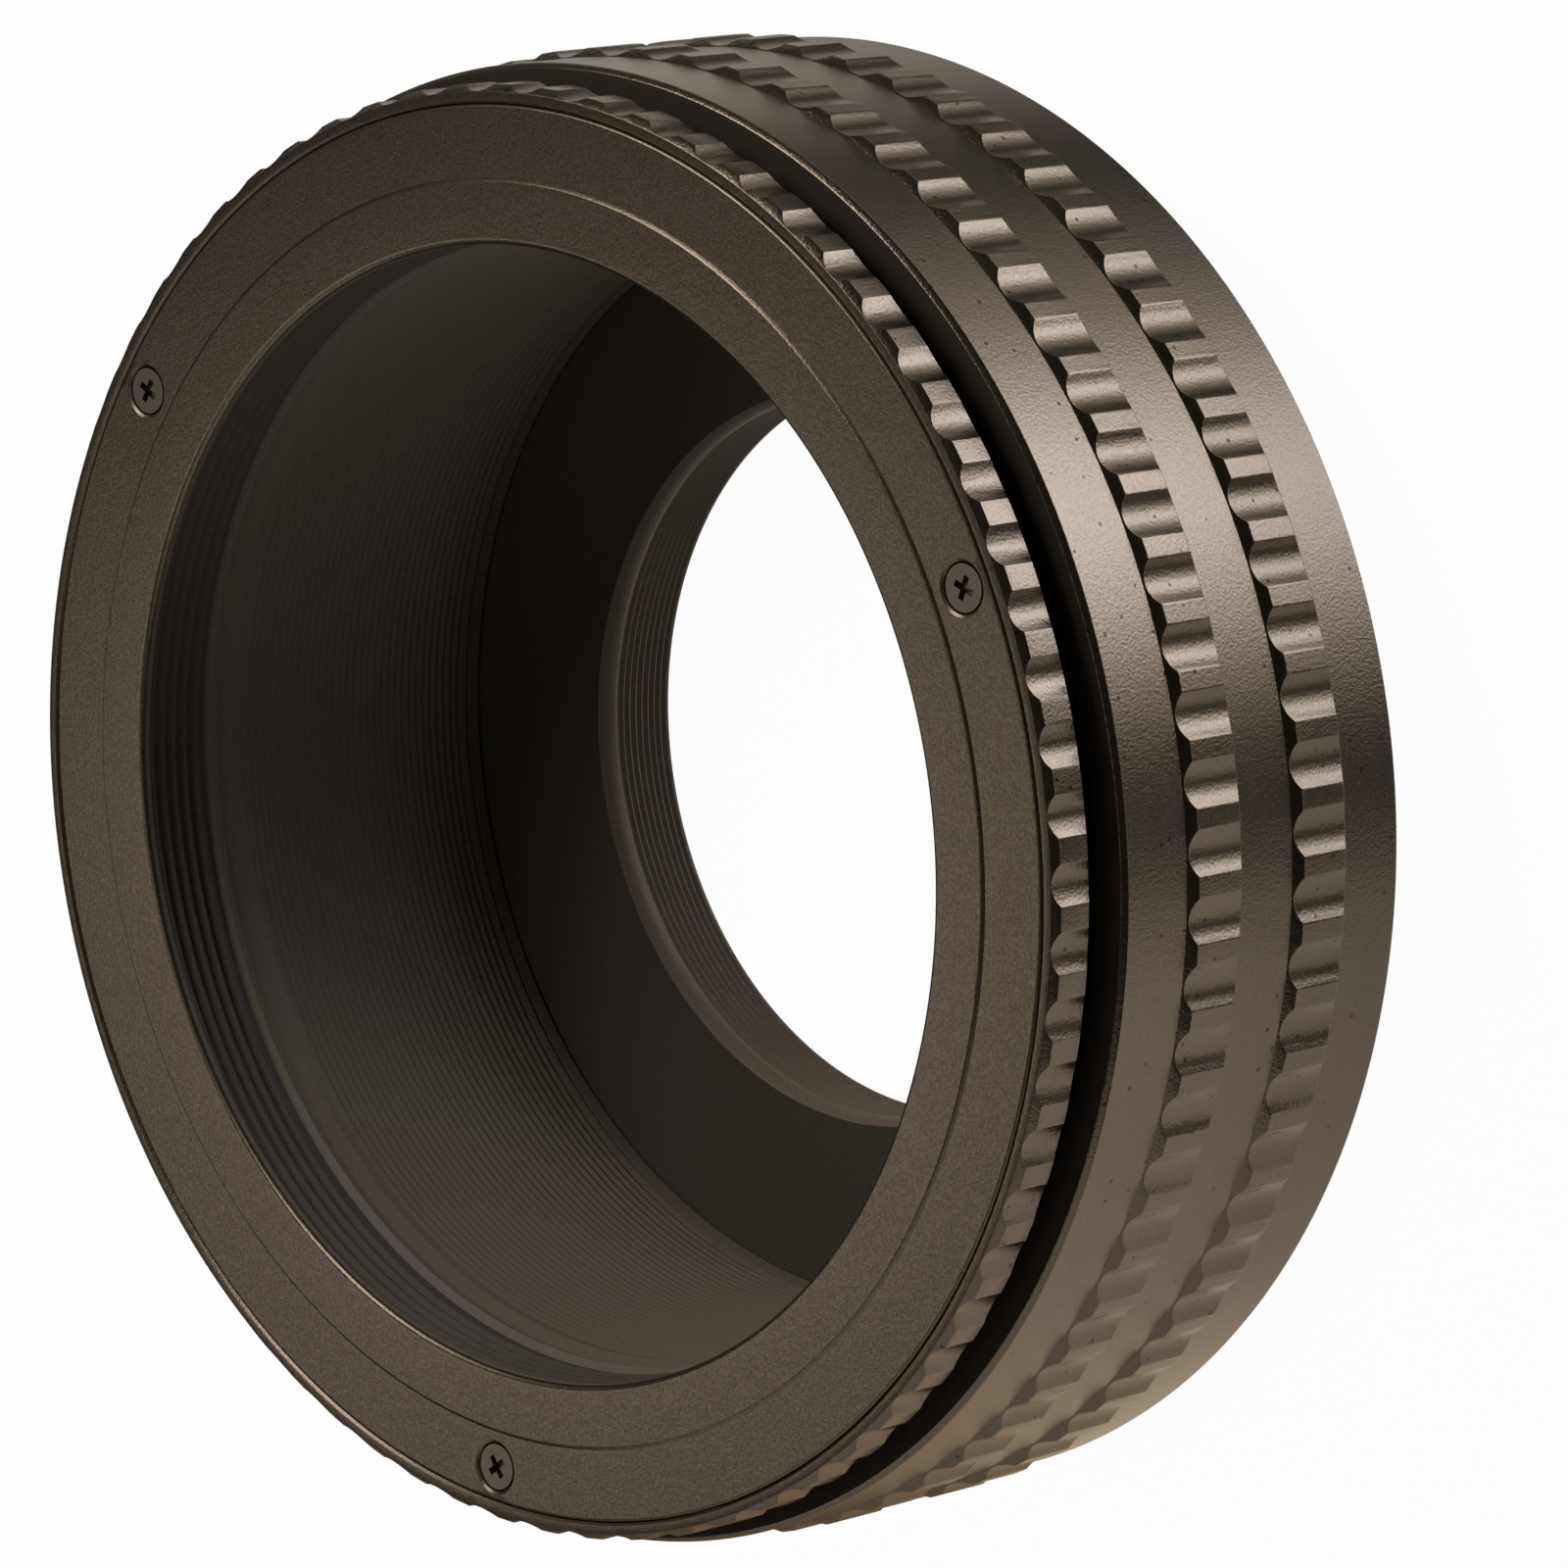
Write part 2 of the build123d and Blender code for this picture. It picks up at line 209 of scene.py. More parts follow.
def flute(bm, foot_r, land_r, depth, teeth, flute_steps, low, high):
    """Cuts flutes into a band that rises from foot_r by 45 degree chamfers between two heights."""
    pitch = math.tau / teeth
    half = pitch * flute_steps / FLUTE_STEPS / 2
    widen = flute_steps / 2 / (flute_steps // 2)
    floor_r = land_r - depth
    sagitta = land_r * math.cos(half) - floor_r
    cutter_r = (sagitta**2 + (land_r * math.sin(half)) ** 2) / (2 * sagitta)
    cutter_at = floor_r + cutter_r
    for v in bm.verts:
        radius = math.hypot(v.co.x, v.co.y)
        if not low < v.co.z < high or radius < foot_r + depth / 10:
            continue
        angle = math.atan2(v.co.y, v.co.x)
        off = (angle + pitch / 2) % pitch - pitch / 2
        top = land_r
        if abs(off) < half:
            angle += off * (widen - 1)
            off *= widen
            top = cutter_at * math.cos(off) - math.sqrt(cutter_r**2 - (cutter_at * math.sin(off)) ** 2)
        rise = top - foot_r
        height = low + rise if v.co.z < (low + high) / 2 else high - rise
        v.co = (top * math.cos(angle), top * math.sin(angle), height)


def turn(bm, degrees):
    """Turns a shape about the optical axis."""
    matrix = Matrix.Rotation(math.radians(degrees), 3, "Z")
    bmesh.ops.rotate(bm, cent=(0, 0, 0), matrix=matrix, verts=bm.verts)


# %% [markdown]
# ## The grip ring
# The ring that the fingers turn: three plain bands and two raised grips, each with a chamfer at both ends.
# Its bore carries the helicoid and ends in a wider seat for the bearing. The outline goes up the outside
# and down the inside.

# %% Focusing ring
RING_REAR, RING_FRONT, GRIP_R = levels("focusing_ring")
GRIP_PROUD = 0.44
GRIP_LENGTH = 3.85
GRIP_DEPTH = 0.37
GRIP_TEETH = 72
GRIP_FLUTE = 11              # spin steps of each tooth pitch that the flute takes
GRIP_PHASE = -3.15           # degrees
REAR_BAND = 4.04
FRONT_BAND = 4.32
RING_CHAMFER = 0.27
RING_BORE_CHAMFER = 0.3
RING_WALL = 2.25
BEARING_LEDGE = 1.0
BEARING_SEAT = 3.07          # depth of the bearing seat, up from the rear face

ring_r = GRIP_R - GRIP_PROUD
helicoid_r = ring_r - RING_WALL
grip_lows = (RING_REAR + REAR_BAND, RING_FRONT - FRONT_BAND - GRIP_LENGTH)
ring_outline = [
    (helicoid_r + BEARING_LEDGE, RING_REAR),
    (ring_r - RING_CHAMFER, RING_REAR),
    (ring_r, RING_REAR + RING_CHAMFER),
]
for low in grip_lows:
    ring_outline += [
        (ring_r, low),
        (GRIP_R, low + GRIP_PROUD),
        (GRIP_R, low + GRIP_LENGTH - GRIP_PROUD),
        (ring_r, low + GRIP_LENGTH),
    ]
ring_outline += [
    (ring_r, RING_FRONT - RING_CHAMFER),
    (ring_r - RING_CHAMFER, RING_FRONT),
    (helicoid_r + RING_BORE_CHAMFER, RING_FRONT),
    (helicoid_r, RING_FRONT - RING_BORE_CHAMFER),
    (helicoid_r, RING_REAR + BEARING_SEAT),
    (helicoid_r + BEARING_LEDGE, RING_REAR + BEARING_SEAT),
]
bm = turned(ring_outline, GRIP_TEETH * FLUTE_STEPS)
for low in grip_lows:
    flute(bm, ring_r, GRIP_R, GRIP_DEPTH, GRIP_TEETH, GRIP_FLUTE, low, low + GRIP_LENGTH)
turn(bm, GRIP_PHASE)
break_edges(bm)
grip_ring = piece("grip_ring", bm, "ring", "focusing_ring")
print("grip ring:", len(grip_ring.data.polygons), "faces")


# %% [markdown]
# ## The barrel
# The part that slides: a fluted flange in front, a recess in it for the mount disc, a thin neck that leaves
# a deep dark gap behind the flange, and a short male helicoid at the far end.

# %% Barrel
SLEEVE_END, FACE, FLANGE_R = levels("helicoid_barrel")
FLANGE_HEIGHT = 2.61
FLANGE_CHAMFER = 0.36
FLANGE_DEPTH = 0.33
FLANGE_TEETH = 70
FLANGE_FLUTE = 10            # spin steps of each tooth pitch that the flute takes
FLANGE_PHASE = -3.4          # degrees
RIM_WIDTH = 0.91
FRONT_ROUND = 0.1            # round on the front edge of the flange
JOINT_CHAMFER = 0.12         # on both sides of the joint between flange and disc
DISC_THICKNESS = 1.25
SLEEVE_WALL = 1.9
NECK_RELIEF = 0.8
HELICOID_LENGTH = 4.5
RUNNING = 0.05               # clearance of the helicoid
GUIDE_TO_TUBE = 6.02         # from the outside of the guide tube in to the light tube
NEAR = 0.05                  # margin for picking edges

flange_foot = FLANGE_R - FLANGE_CHAMFER
flange_rear = FACE - FLANGE_HEIGHT
web = FACE - DISC_THICKNESS
recess_r = FLANGE_R - RIM_WIDTH
neck_r = helicoid_r - NECK_RELIEF
sleeve_r = neck_r - SLEEVE_WALL
tube_r = levels("guide_tube")[2] - GUIDE_TO_TUBE
bm = turned(
    [
        (sleeve_r, SLEEVE_END),
        (helicoid_r - RUNNING, SLEEVE_END),
        (helicoid_r - RUNNING, SLEEVE_END + HELICOID_LENGTH),
        (neck_r, SLEEVE_END + HELICOID_LENGTH),
        (neck_r, flange_rear),
        (flange_foot, flange_rear),
        (FLANGE_R, flange_rear + FLANGE_CHAMFER),
        (FLANGE_R, FACE - FLANGE_CHAMFER),
        (flange_foot, FACE),
        (recess_r + JOINT_CHAMFER, FACE),
        (recess_r, FACE - JOINT_CHAMFER),
        (recess_r, web),
        (tube_r, web),
        (tube_r, flange_rear),
        (sleeve_r, flange_rear),
    ],
    FLANGE_TEETH * FLUTE_STEPS,
)
flute(bm, flange_foot, FLANGE_R, FLANGE_DEPTH, FLANGE_TEETH, FLANGE_FLUTE, flange_rear, FACE)
turn(bm, FLANGE_PHASE)
break_edges(bm, above=FACE - NEAR, outside=flange_foot - NEAR, width=FRONT_ROUND)
break_edges(bm, outside=flange_foot + 0.02)
barrel = piece("barrel", bm, "barrel", "helicoid_barrel")
print("barrel:", len(barrel.data.polygons), "faces")


# %% [markdown]
# ## Screw seats
# A countersink is a cone cut into the plate, and its edge shows as a thin ring round the screw head. A
# Boolean modifier cuts all three at once, and its result is kept as the plate's mesh.

# %% Countersunk seats
HEAD_R = 1.175
HEAD_HEIGHT = 0.75
SHANK_R = 0.83
SCREW_R = 0.8
HEAD_SINK = 0.12
SEAT_EDGE = 0.13             # width of the broken edge of the countersink
SEAT_EDGE_DROP = 0.7         # its depth as a share of that width
SEAT_STEPS = 64
DRILL_LENGTH = 3.0
DRILL_ABOVE = 0.1


def cut_seats(obj, radius, height, first_angle, facing):
    """Cuts three countersunk holes in a face at this height that looks along facing (1 up, -1 down)."""
    slope = (HEAD_R - SCREW_R) / HEAD_HEIGHT
    mouth_r = HEAD_R + HEAD_SINK
    drop = SEAT_EDGE_DROP * SEAT_EDGE
    bm = turned(
        [
            (0, -DRILL_LENGTH),
            (SHANK_R, -DRILL_LENGTH),
            (SHANK_R, (SHANK_R - mouth_r) / slope - drop),
            (mouth_r, -drop),
            (mouth_r + SEAT_EDGE, 0),
            (mouth_r + SEAT_EDGE, DRILL_ABOVE),
            (0, DRILL_ABOVE),
        ],
        SEAT_STEPS,
    )
    bmesh.ops.remove_doubles(bm, verts=bm.verts, dist=0.001)
    if facing < 0:
        over = Matrix.Rotation(math.pi, 3, "X")
        bmesh.ops.rotate(bm, cent=(0, 0, 0), matrix=over, verts=bm.verts)
    bmesh.ops.translate(bm, vec=(radius, 0, height), verts=bm.verts)
    first = bm.verts[:] + bm.edges[:] + bm.faces[:]
    for angle in (120, 240):
        copy = bmesh.ops.duplicate(bm, geom=first)["geom"]
        bmesh.ops.rotate(
            bm,
            cent=(0, 0, 0),
            matrix=Matrix.Rotation(math.radians(angle), 3, "Z"),
            verts=[v for v in copy if isinstance(v, bmesh.types.BMVert)],
        )
    turn(bm, first_angle)
    bmesh.ops.scale(bm, vec=(MM, MM, MM), verts=bm.verts)
    cutter = made("seat_cutter", bm)
    cut = obj.modifiers.new("seats", "BOOLEAN")
    cut.object = cutter
    cut.operation = "DIFFERENCE"
    cut.solver = "EXACT"
    settle(obj)
    bpy.data.objects.remove(cutter)


# %% [markdown]
# ## The front mount and its light tube
# One turned piece: a disc with a raised lens seat, a female thread in its mouth, and behind it a long tube
# whose wall is cut with fine grooves. The grooves are baffles: they trap light that would otherwise glance
# off the wall. The grooves are so fine that they go into the outline itself, one small tooth after another.

# %% Front mount tube
TUBE_END, SEAT, DISC_R = levels("front_mount_tube")
THREAD_MINOR_R = 28.594
THREAD_DEPTH = 0.24          # crest to the rounded, dye-filled root
THREAD_LENGTH = 4.4
MOUTH_ROUND = 0.34
MOUTH_LAND = 0.55            # plain land in the mouth, above the first turn
LAND_PROUD = 0.03
RELIEF_LENGTH = 1.7          # slightly hollow stretch between the thread and the grooves
RELIEF_LIP = 0.15
RELIEF_HOLLOW = 0.15
BAFFLE_STEP = 0.29           # from the thread's crests in to the crests of the grooves
BAFFLE_PITCH = 0.5
BAFFLE_DEPTH = 0.09
TUBE_WALL = 1.6
END_BAND = 0.71
END_GROOVE = 0.2
SEAT_WIDTH = 3.1
SEAT_SLOPE = 0.16
SCREW_INSET = 1.77
TUBE_STEPS = 360


def grooved(radius_at, low, high, pitch, depth):
    """Outline corners going up a bore whose wall has V grooves, where radius_at gives the wall's radius."""
    count = int((high - low) / pitch)
    corners = []
    for i in range(count):
        z = low + i * pitch
        corners.append((radius_at(z), z))
        corners.append((radius_at(z) + depth, z + pitch / 2))
    return corners


baffle_r = THREAD_MINOR_R - BAFFLE_STEP
seat_r = THREAD_MINOR_R + SEAT_WIDTH
root_r = THREAD_MINOR_R + THREAD_DEPTH
land_r = THREAD_MINOR_R - LAND_PROUD
thread_end = SEAT - THREAD_LENGTH
relief_end = thread_end - RELIEF_LENGTH
lip_r = baffle_r + RELIEF_LIP
groove_low = TUBE_END + END_BAND
tube_outline = [
    (baffle_r + TUBE_WALL, TUBE_END),
    (baffle_r + TUBE_WALL, web),
    (DISC_R, web),
    (DISC_R, FACE - JOINT_CHAMFER),
    (DISC_R - JOINT_CHAMFER, FACE),
    (seat_r + SEAT_SLOPE, FACE),
    (seat_r, SEAT),
    *arc(land_r + MOUTH_ROUND, SEAT - MOUTH_ROUND, MOUTH_ROUND, MOUTH_ROUND, 90, 180),
    (land_r, SEAT - MOUTH_LAND),
    (root_r, SEAT - MOUTH_LAND - THREAD_DEPTH / 2),
    (root_r, thread_end),
    (lip_r, thread_end - 2 * RELIEF_LIP),
    (lip_r + RELIEF_HOLLOW, thread_end - RELIEF_LENGTH / 2),
    (baffle_r, relief_end),
]
baffle_low = groove_low + END_GROOVE + BAFFLE_PITCH / 2
baffles = grooved(lambda z: baffle_r, baffle_low, relief_end, BAFFLE_PITCH, BAFFLE_DEPTH)
tube_outline += reversed(baffles)
tube_outline += [
    (baffle_r, groove_low + END_GROOVE),
    (baffle_r + END_GROOVE, groove_low + END_GROOVE),
    (baffle_r + END_GROOVE, groove_low),
    (baffle_r, groove_low),
    (baffle_r, TUBE_END),
]
bm = turned(tube_outline, TUBE_STEPS)
break_edges(bm, above=web, outside=root_r)
front_seats = (DISC_R - SCREW_INSET, FACE, 0, 1)
front_mount = piece("front_mount", bm, "barrel", "front_mount_tube", front_seats)
print("front mount:", len(front_mount.data.polygons), "faces")


# %% [markdown]
# ## Screw threads
# A thread is a ridge that climbs as it turns. Spin does that too: with a small lift at every step, the
# ridge's section winds round the axis as a helix. Both threads sit on a plain wall at their root, and a
# tool that is drawn back while the work still turns lets the end of a ridge run out into that wall. At the
# front it ends inside the mouth's plain land.

# %% Thread ridges
RUN_OUT = 0.12               # share of a turn in which a ridge fades away
RIDGE_FOOT = 0.46            # half the width of a ridge at its foot, as a share of the pitch
RIDGE_CREST = 0.07           # the same at its crest
RIDGE_SINK = 0.02            # how far a ridge reaches into the wall it stands on
THREAD_STEPS = 180           # spin steps in one turn


def thread(name, foot_r, crest_r, pitch, low, turns, body, node):
    """A helical ridge from foot_r to crest_r that starts at height low."""
    bm = bmesh.new()
    foot_r += RIDGE_SINK if crest_r < foot_r else -RIDGE_SINK
    section = [
        (foot_r, low - RIDGE_FOOT * pitch),
        (crest_r, low - RIDGE_CREST * pitch),
        (crest_r, low + RIDGE_CREST * pitch),
        (foot_r, low + RIDGE_FOOT * pitch),
    ]
    bmesh.ops.spin(
        bm,
        geom=drawn(bm, section),
        cent=(0, 0, 0),
        axis=(0, 0, 1),
        dvec=(0, 0, pitch / THREAD_STEPS),
        angle=math.tau * turns,
        steps=int(THREAD_STEPS * turns),
    )
    for v in bm.verts:
        share = math.atan2(v.co.y, v.co.x) / math.tau % 1
        done = share + round((v.co.z - low) / pitch - share)
        fade = max(0.0, min(1.0, done / RUN_OUT, (turns - done) / RUN_OUT))
        radius = math.hypot(v.co.x, v.co.y)
        kept = (foot_r + (radius - foot_r) * fade) / radius
        v.co = (v.co.x * kept, v.co.y * kept, v.co.z)
    bmesh.ops.holes_fill(bm, edges=bm.edges)
    bmesh.ops.recalc_face_normals(bm, faces=bm.faces)
    return piece(name, bm, body, node)


FRONT_PITCH = 0.75
first_turn = thread_end + FRONT_PITCH / 2
front_turns = (SEAT - MOUTH_LAND - first_turn) / FRONT_PITCH
front_thread = thread(
    "front_thread",
    root_r,
    THREAD_MINOR_R,
    FRONT_PITCH,
    first_turn,
    front_turns,
    "barrel",
    "front_mount_tube",
)
print("front thread:", round(front_turns, 2), "turns")


# %% [markdown]
# ## The far plate and collar
# The plate closes the far end and carries the small collar. Its bore flares towards the camera and is
# grooved like the light tube, and its front edge is a soft round. The outside of the collar has the male
# thread, with a relief groove where the thread meets the shoulder.

# %% Far mount
_, PLATE_TOP, PLATE_R = levels("far_mount_plate")
PLATE_THICKNESS = 1.18
FAR_MAJOR_R = 21.0
FAR_PITCH = 1.0
FAR_ROOT_R = FAR_MAJOR_R - 0.6134 * FAR_PITCH    # depth of a metric male thread
FAR_THREAD_LOW = 0.75
FAR_TURNS = 2.4
FAR_SCREW_R = 31.9
PLATE_STEPS = 300
COLLAR_WALL = 1.8
COLLAR_FLARE = 0.44
COLLAR_CHAMFER = 0.4
COLLAR_LIP = 0.85
COLLAR_GROOVE = 0.13         # depth of the grooves in the collar's bore
GROOVES_START = 0.2
LIP_SWEEP = 30               # degrees of the ellipse that rounds the front edge of the bore
UNDERCUT_DEPTH = 0.15
UNDERCUT_REACH = 0.3

shoulder = PLATE_TOP - PLATE_THICKNESS
collar_rear_r = FAR_MAJOR_R - COLLAR_WALL
collar_front_r = collar_rear_r - COLLAR_FLARE
bore_top = PLATE_TOP - COLLAR_LIP
undercut_r = FAR_MAJOR_R + UNDERCUT_REACH


def collar_bore(z):
    """Radius of the flared bore at a height."""
    return collar_rear_r - COLLAR_FLARE * z / bore_top


far_outline = grooved(collar_bore, GROOVES_START, bore_top, BAFFLE_PITCH, COLLAR_GROOVE)
lip_radial = COLLAR_CHAMFER / (1 - math.cos(math.radians(LIP_SWEEP)))
lip_axial = COLLAR_LIP / math.sin(math.radians(LIP_SWEEP))
far_outline += arc(collar_front_r + lip_radial, bore_top, lip_radial, lip_axial, 180, 180 - LIP_SWEEP)
far_outline += [
    (PLATE_R, PLATE_TOP),
    (PLATE_R, shoulder),
    (undercut_r, shoulder),
    (undercut_r, shoulder + UNDERCUT_DEPTH),
    (FAR_ROOT_R, shoulder + UNDERCUT_DEPTH),
    (FAR_ROOT_R, COLLAR_CHAMFER),
    (FAR_ROOT_R - COLLAR_CHAMFER / 2, 0),
    (collar_rear_r, 0),
]
bm = turned(far_outline, PLATE_STEPS)
far_seats = (FAR_SCREW_R, shoulder, 30, -1)
far_mount = piece("far_mount", bm, "base", "far_mount_plate", far_seats)
far_thread = thread(
    "far_thread",
    FAR_ROOT_R,
    FAR_MAJOR_R,
    FAR_PITCH,
    FAR_THREAD_LOW,
    FAR_TURNS,
    "base",
    "far_mount_plate",
)
print("far mount:", len(far_mount.data.polygons), "faces")


# %% [markdown]
# ## Materials
# Colours are written as sRGB hex values, as read from a colour picker, and one function turns them to the
# linear values that the shader needs. One small function adds a node, its settings and its links.

# %% Colour and node helpers
def colour(hex_value):
    """A linear RGBA colour from an sRGB hex string."""
    parts = [int(hex_value[i : i + 2], 16) / 255 for i in (1, 3, 5)]
    return [c / 12.92 if c <= 0.04045 else ((c + 0.055) / 1.055) ** 2.4 for c in parts] + [1.0]


def add(tree, kind, settings=None, **links):
    """Adds a node, sets its properties or input values, and links other nodes' outputs to its inputs."""
    node = tree.nodes.new(kind)
    for key, value in (settings or {}).items():
        if isinstance(key, str) and hasattr(node, key):
            setattr(node, key, value)
        else:
            node.inputs[key].default_value = value
    for key, source in links.items():
        name = key.replace("_", " ")
        target = node.inputs[int(name[5:])] if name.startswith("input") else node.inputs[name]
        tree.links.new(source, target)
    return node


def start(name):
    """An empty material with its shader and output."""
    material = bpy.data.materials.new(name)
    material.use_nodes = True
    tree = material.node_tree
    tree.nodes.clear()
    shader = add(tree, "ShaderNodeBsdfPrincipled")
    add(tree, "ShaderNodeOutputMaterial", Surface=shader.outputs["BSDF"])
    return material, tree, shader


# %% [markdown]
# ## Bead-blasted, black anodised aluminium
# The parts are blasted with fine beads before they are anodised, so the surface is a carpet of tiny dents.
# The dye is not quite black: under warm light it reads as a very dark brown. Metallic is high on the
# blasted parts, because the light glances off the metal under the oxide, and the dents spread it softly.
# The bore is dull, so it has none. A noise texture drives both the dents and a slight mottle, and a few
# cells of a Voronoi texture become specks. The dents of real beads are finer than a tenth of a millimetre
# and would not show, so they are drawn coarser.

# %% Blasted aluminium
def blasted_aluminium(name, tone, roughness, grain_mm, dent, metallic=0.9, mottle=0.12, specks=None):
    """Anodised aluminium with a grain of this size, a dent depth in millimetres, and perhaps a few specks."""
    material, tree, shader = start(name)
    at = add(tree, "ShaderNodeTexCoord").outputs["Object"]
    grain_settings = {"Scale": 1 / (grain_mm * MM), "Detail": 2.0, "Roughness": 0.6}
    grain = add(tree, "ShaderNodeTexNoise", grain_settings, Vector=at)
    base = colour(tone)
    shade = add(tree, "ShaderNodeValToRGB", Fac=grain.outputs["Fac"])
    for stop, place, gain in zip(shade.color_ramp.elements, (0.3, 0.7), (1 - mottle, 1 + mottle)):
        stop.position = place
        stop.color = [c * gain for c in base[:3]] + [1.0]
    paint = shade.outputs["Color"]
    if specks:
        tint, spacing, radius = specks
        cells = add(tree, "ShaderNodeTexVoronoi", {"Scale": 1 / (spacing * MM)}, Vector=at)
        spot = add(
            tree,
            "ShaderNodeMapRange",
            {"From Min": 0.6 * radius / spacing, "From Max": radius / spacing, "To Min": 0.8, "To Max": 0.0},
            Value=cells.outputs["Distance"],
        )
        mixed = add(
            tree,
            "ShaderNodeMix",
            {"data_type": "RGBA", 7: colour(tint)},
            input0=spot.outputs["Result"],
            input6=paint,
        )
        paint = mixed.outputs[2]
    tree.links.new(paint, shader.inputs["Base Color"])
    bump = add(tree, "ShaderNodeBump", {"Strength": 1.0, "Distance": dent * MM}, Height=grain.outputs["Fac"])
    tree.links.new(bump.outputs["Normal"], shader.inputs["Normal"])
    shader.inputs["Metallic"].default_value = metallic
    shader.inputs["Roughness"].default_value = roughness
    shader.inputs["Specular IOR Level"].default_value = 0.5 if metallic > 0.5 else 0.2
    return material


# A satin skin with a visible grain: broad soft bands of light, and a few brown specks of dust.
ring_finish = blasted_aluminium(
    "blasted_anodised_aluminium",
    "#65594B",
    roughness=0.24,
    grain_mm=0.16,
    dent=0.024,
    specks=("#38190F", 1.3, 0.14),
)
# The same metal blasted more finely: an even, softly mottled face with a rare pale speck.
face_finish = blasted_aluminium(
    "fine_blasted_anodised_aluminium",
    "#65594B",
    roughness=0.32,
    grain_mm=0.14,
    dent=0.013,
    mottle=0.3,
    specks=("#C8B8A0", 4.5, 0.07),
)
MATT = {"roughness": 0.6, "grain_mm": 0.2, "dent": 0.003}
# Matt oxide in the light tube: no mirror image, only the grooves' own light and shade.
tube_finish = blasted_aluminium("matt_anodised_aluminium", "#6D6356", metallic=0.0, **MATT)
# Painted shade: the thread takes a darker copy of the bore's finish, so its turns read darker than the wall.
thread_shade_finish = blasted_aluminium("painted_thread_shade_aluminium", "#4E463D", metallic=0.0, **MATT)
# Painted shade: the plate at the bottom of the tube takes the darkest copy of the matt finish.
plate_shade_finish = blasted_aluminium("painted_plate_shade_aluminium", "#433C33", metallic=0.0, **MATT)
# The collar is left as turned, so a little of the metal glints on its grooves.
collar_finish = blasted_aluminium("turned_anodised_aluminium", "#685B4E", metallic=0.2, **MATT)
print("aluminium finishes:", len(bpy.data.materials))


# %% [markdown]
# ## Steel, brass and painted shade
# The screws are steel with a black oxide skin, and the keys inside are bare brass as it comes from the
# mill. The helicoid, the neck and the inside of the ring lie deep in a gap. As painted shade, they take a
# plain dark shader without any shine, so that the gap reads as a deep dark line. None of these shows a
# pattern at this size, so one value for each socket is enough.

# %% Steel, brass and the painted shade in the gaps
def plain_metal(name, tone, roughness):
    """A bare or oxidised metal without a pattern."""
    material, _, shader = start(name)
    shader.inputs["Base Color"].default_value = colour(tone)
    shader.inputs["Metallic"].default_value = 1.0
    shader.inputs["Roughness"].default_value = roughness
    return material


def matt_black(name, tone):
    """A dark surface without any shine."""
    material, _, shader = start(name)
    shader.inputs["Base Color"].default_value = colour(tone)
    shader.inputs["Roughness"].default_value = 0.9
    shader.inputs["Specular IOR Level"].default_value = 0.0
    return material


# Oxide on turned steel: a dark, half-polished head whose recess stays black.
screw_finish = plain_metal("black_oxide_steel", "#766C5F", 0.42)
# Milled brass: warm yellow with a soft shine.
key_finish = plain_metal("machined_brass", "#C9A45C", 0.3)
# Painted shade: the faces deep in the gaps take a dark matt finish, so the gaps read as deep dark lines.
gap_shade_finish = matt_black("painted_gap_shade_black", "#37312B")


# %% [markdown]
# ## Dressing the pieces
# Most pieces have one finish. A bore is turned in another way than the outside, and a thread or a gap takes a
# darker finish as painted shade. The faces of each such place are picked by radius and height and get a
# second finish. Splitting the piece would do as well, but it would leave open edges.

# %% Finishes in place
TOUCH = 0.01                 # margin that takes in the faces at a limit
REACH = 0.1                  # the same where nothing else is near


def dress(obj, material):
    """Gives an object one finish."""
    obj.data.materials.clear()
    obj.data.materials.append(material)


def line_bore(obj, inner, outer, low, high, material):
    """Gives the faces between two radii and two heights a finish of their own."""
    obj.data.materials.append(material)
    number = len(obj.data.materials) - 1
    for face in obj.data.polygons:
        at = face.center / MM
        if inner < math.hypot(at.x, at.y) < outer and low < at.z < high:
            face.material_index = number


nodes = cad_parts
for obj in (grip_ring, barrel, nodes["retaining_ring"], nodes["guide_tube"]):
    dress(obj, ring_finish)
dress(front_mount, face_finish)
mouth_edge = SEAT - 0.8 * MOUTH_ROUND
line_bore(front_mount, 0, root_r + TOUCH, TUBE_END - REACH, mouth_edge, tube_finish)
# Painted shade: the thread in the mouth takes the darker copy of the bore's finish.
line_bore(front_mount, land_r, root_r + TOUCH, thread_end, SEAT - MOUTH_LAND, thread_shade_finish)
# Painted shade: the helicoid, the neck and the rear face of the flange lie deep in the gap and take the dark
# matt finish.
line_bore(barrel, neck_r - REACH, flange_foot, SLEEVE_END, flange_rear + TOUCH, gap_shade_finish)
line_bore(barrel, recess_r, flange_foot + FRONT_ROUND, FACE - JOINT_CHAMFER, FACE + TOUCH, face_finish)
ledge = RING_REAR + BEARING_SEAT
# Painted shade: the ring's front face and its bore in front of the bearing seat take the same dark finish.
line_bore(grip_ring, helicoid_r - REACH, ring_r - RING_CHAMFER, ledge, RING_FRONT + TOUCH, gap_shade_finish)
# Painted shade: the plate, deep at the bottom of the tube, takes the darkest finish, and the collar's bore
# keeps a lighter one.
dress(far_mount, plate_shade_finish)
line_bore(far_mount, 0, collar_rear_r + COLLAR_CHAMFER, 0, PLATE_TOP - TOUCH, collar_finish)
# Painted shade: the ridges of the front thread take the same darker thread finish.
dress(front_thread, thread_shade_finish)
dress(far_thread, tube_finish)
for name in ("front_mount_screws", "far_mount_screws", "guide_key_screws"):
    dress(nodes[name], screw_finish)
for name in ("guide_key_1", "guide_key_2", "guide_key_3"):
    dress(nodes[name], key_finish)


